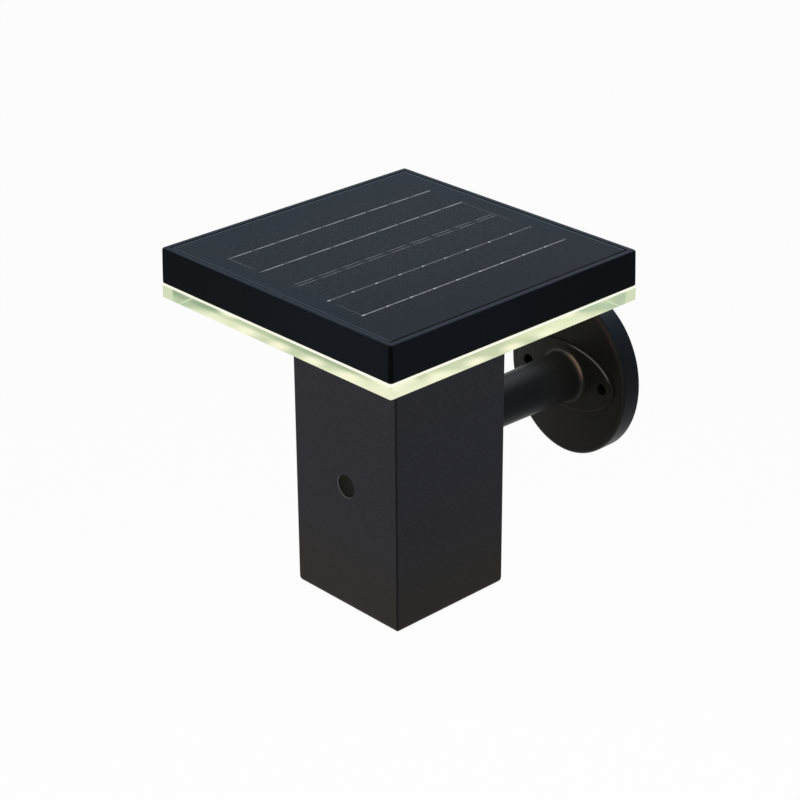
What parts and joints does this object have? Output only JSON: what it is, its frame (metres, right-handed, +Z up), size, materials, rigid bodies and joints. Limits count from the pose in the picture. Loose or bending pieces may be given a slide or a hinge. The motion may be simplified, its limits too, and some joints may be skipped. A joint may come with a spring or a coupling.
{
  "type": "fence light",
  "caption": "Solar fence light: flat square head with a solar panel and a lit acrylic edge, on a square post held off the wall by a round arm and an oval plate.",
  "frame": {"origin": "centre of the wall plate's back face, on the arm's axis, midway between the two wall screw holes", "axes": "+Y into the wall, so the front of the lamp with its button faces -Y; +Z up, the solar panel faces up; +X to the right of someone facing the lamp"},
  "size_m": [0.15, 0.199, 0.1702],
  "materials": {
    "powder_coat": "satin powder coat on cast aluminium",
    "black_abs": "satin moulded",
    "clear_cover": "clear, slightly frosted",
    "clear_film": "clear potting",
    "silver_paste": "matt printed silver",
    "silicon_cells": "dark blue-black silicon",
    "black_laminate": "matt",
    "foam_tape": "matt foam",
    "white_abs": "moulded",
    "white_board": "solder mask",
    "white_film": "matt film",
    "green_board": "solder mask",
    "chip_resin": "moulded resin",
    "black_nylon": "moulded",
    "nylon": "natural, moulded",
    "black_rubber": "moulded",
    "button_rubber": "moulded silicone",
    "cell_wrap": "shrink sleeve",
    "nickel": "plated strip",
    "zinc_steel": "zinc plated",
    "wire_jacket": "extruded",
    "lit_acrylic": "polished edge, lit from inside",
    "lit_diodes": "lit phosphor"
  },
  "bodies": {
    "lamp": {"panel_glazing": "clear_cover", "panel_film": "clear_film", "cell_busbars": "silver_paste", "solar_cells": "silicon_cells", "panel_backing": "black_laminate", "panel_tape": "foam_tape", "head_casing": "black_abs", "casing_screws": "zinc_steel", "head_base": "white_abs", "cable_grommet": "black_rubber", "led_board": "white_board", "leds": "lit_diodes", "reflector_sheet": "white_film", "light_guide": "lit_acrylic", "base_screws": "zinc_steel", "post_seal": "black_rubber", "post_housing": "powder_coat", "switch_body": "black_nylon", "control_board": "green_board", "board_components": "chip_resin", "board_connectors": "nylon", "board_screws": "zinc_steel", "battery_tray": "black_nylon", "battery_cells": "cell_wrap", "battery_contacts": "nickel", "battery_cap": "black_nylon", "tray_screws": "zinc_steel", "panel_wires": "wire_jacket", "led_wires": "wire_jacket", "battery_wires": "wire_jacket", "arm_screws": "zinc_steel", "arm_washers": "zinc_steel", "arm_seal": "black_rubber", "wall_bracket": "powder_coat"},
    "button": {"button_cap": "button_rubber", "switch_plunger": "nylon"}
  },
  "joints": [
    {"name": "button_press", "type": "slide", "parent": "lamp", "child": "button", "axis": [0, 1, 0], "range_m": [0, 0.001], "stiffness_N_per_m": 600, "springref_m": -0.0005}
  ]
}
